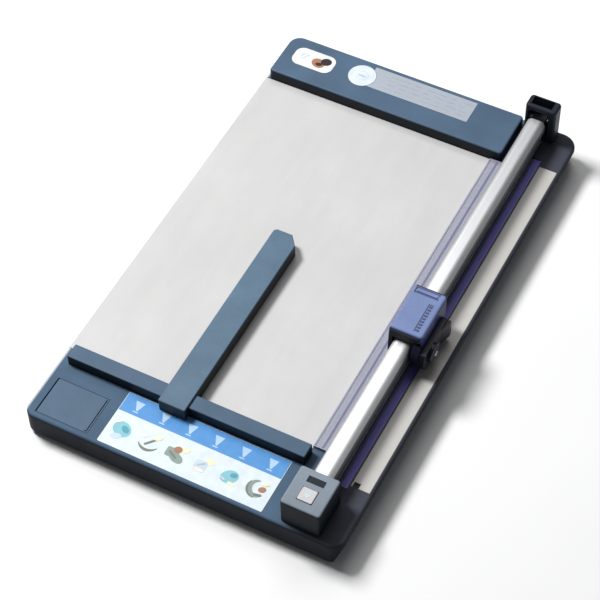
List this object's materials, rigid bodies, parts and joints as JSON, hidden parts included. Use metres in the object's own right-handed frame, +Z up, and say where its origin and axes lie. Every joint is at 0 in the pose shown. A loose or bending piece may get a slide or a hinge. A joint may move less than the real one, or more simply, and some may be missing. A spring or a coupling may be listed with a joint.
{
  "type": "rotary paper trimmer",
  "caption": "Rotary paper trimmer: a flat base with a paper bed and fence, and a hinged rail carrying a sliding disc-blade carriage, a clamp strip and a latch.",
  "frame": {"origin": "middle of the footprint, on the surface the trimmer stands on", "axes": "+X to the cutting side, +Y along the cut to the hinge end, +Z up"},
  "size_m": [0.2568, 0.425, 0.0585],
  "materials": {
    "slate_body": "fine satin texture, dark slate blue",
    "cover_black": "moulded, fine grain",
    "foot_rubber": "matt",
    "screw_steel": "plated",
    "bed_grey": "satin light grey",
    "channel_lavender": "satin",
    "mat_blue": "satin, two stripes",
    "label_print": "printed film",
    "plate_silver": "satin foil",
    "roundel_white": "gloss film",
    "badge_dark": "printed film",
    "rail_aluminium": "anodised, satin",
    "head_slate": "satin",
    "button_white": "satin",
    "pin_steel": "ground",
    "spring_steel": "drawn wire",
    "clear_strip": "translucent lavender",
    "pad_violet": "matt",
    "hook_black": "moulded",
    "liner_white": "low-friction",
    "cap_blue": "satin periwinkle blue",
    "cartridge_blue": "satin, deeper blue",
    "blade_steel": "ground",
    "guide_slate": "satin, slate blue"
  },
  "bodies": {
    "base": {"base_tray": "slate_body", "bottom_cover": "cover_black", "cover_screws": "screw_steel", "rubber_feet": "foot_rubber", "bed_plate": "bed_grey", "outer_plate": "bed_grey", "mat_channel": "channel_lavender", "cutting_mat": "mat_blue", "front_label": "label_print", "rear_badge": "badge_dark", "rear_roundel": "roundel_white", "rear_nameplate": "plate_silver", "fence_bar": "slate_body", "rear_cover": "slate_body", "fence_screws": "screw_steel", "rear_cover_screws": "screw_steel", "lid_pin": "pin_steel", "rear_post": "head_slate", "post_screws": "screw_steel", "hinge_pin": "pin_steel", "latch_keeper": "spring_steel"},
    "rail": {"rail_tube": "rail_aluminium", "hinge_block": "cover_black", "rail_end_cap": "cover_black", "head_shell": "head_slate", "head_base": "cover_black", "head_screws": "screw_steel", "clamp_pins": "pin_steel", "clamp_springs": "spring_steel", "button_springs": "spring_steel", "latch_spring": "spring_steel"},
    "clamp": {"presser_strip": "clear_strip", "presser_pad": "pad_violet"},
    "button": {"release_button": "button_white"},
    "latch": {"latch_hook": "hook_black"},
    "carriage": {"carriage_saddle": "hook_black", "slide_liners": "liner_white", "spring_pins": "pin_steel", "press_springs": "spring_steel"},
    "press": {"carriage_housing": "cap_blue", "carriage_front_plate": "hook_black", "carriage_rear_plate": "hook_black", "blade_cartridge": "cartridge_blue", "blade_axle": "pin_steel", "blade_knob": "cartridge_blue", "knob_screw": "pin_steel"},
    "blade": {"blade_disc": "blade_steel", "blade_hub": "hook_black"},
    "guide": {"guide_bar": "guide_slate"},
    "lid": {"storage_lid": "slate_body"}
  },
  "joints": [
    {"name": "rail_lift", "type": "hinge", "parent": "base", "child": "rail", "pos_m": [0.0985, 0.203, 0.04], "axis": [-1, 0, 0], "range_deg": [0, 30], "deforming": ["latch_keeper"]},
    {"name": "clamp_press", "type": "slide", "parent": "rail", "child": "clamp", "axis": [0, 0, 1], "range_m": [0, 0.001], "stiffness_N_per_m": 1500, "springref_m": -0.003, "deforming": ["clamp_springs"]},
    {"name": "button_press", "type": "slide", "parent": "rail", "child": "button", "axis": [0, 0, -1], "range_m": [0, 0.0025], "stiffness_N_per_m": 800, "springref_m": -0.001, "deforming": ["button_springs"]},
    {"name": "latch_slide", "type": "slide", "parent": "rail", "child": "latch", "axis": [0, -1, 0], "range_m": [0, 0.0025], "stiffness_N_per_m": 400, "springref_m": -0.001, "deforming": ["latch_spring"]},
    {"name": "carriage_slide", "type": "slide", "parent": "rail", "child": "carriage", "axis": [0, 1, 0], "range_m": [-0.119, 0.189]},
    {"name": "blade_press", "type": "slide", "parent": "carriage", "child": "press", "axis": [0, 0, -1], "range_m": [0, 0.002], "stiffness_N_per_m": 2500, "springref_m": -0.001, "deforming": ["press_springs"]},
    {"name": "blade_spin", "type": "hinge", "parent": "press", "child": "blade", "pos_m": [0.1102, -0.042, 0.0382], "axis": [1, 0, 0], "continuous": true},
    {"name": "guide_slide", "type": "slide", "parent": "base", "child": "guide", "axis": [1, 0, 0], "range_m": [-0.078, 0.09]},
    {"name": "storage_lid", "type": "hinge", "parent": "base", "child": "lid", "pos_m": [-0.116, -0.192, 0.0224], "axis": [0, -1, 0], "range_deg": [0, 100]}
  ],
  "couplings": [
    {"joint": "latch_slide", "follows": "button_press", "ratio": 1}
  ]
}
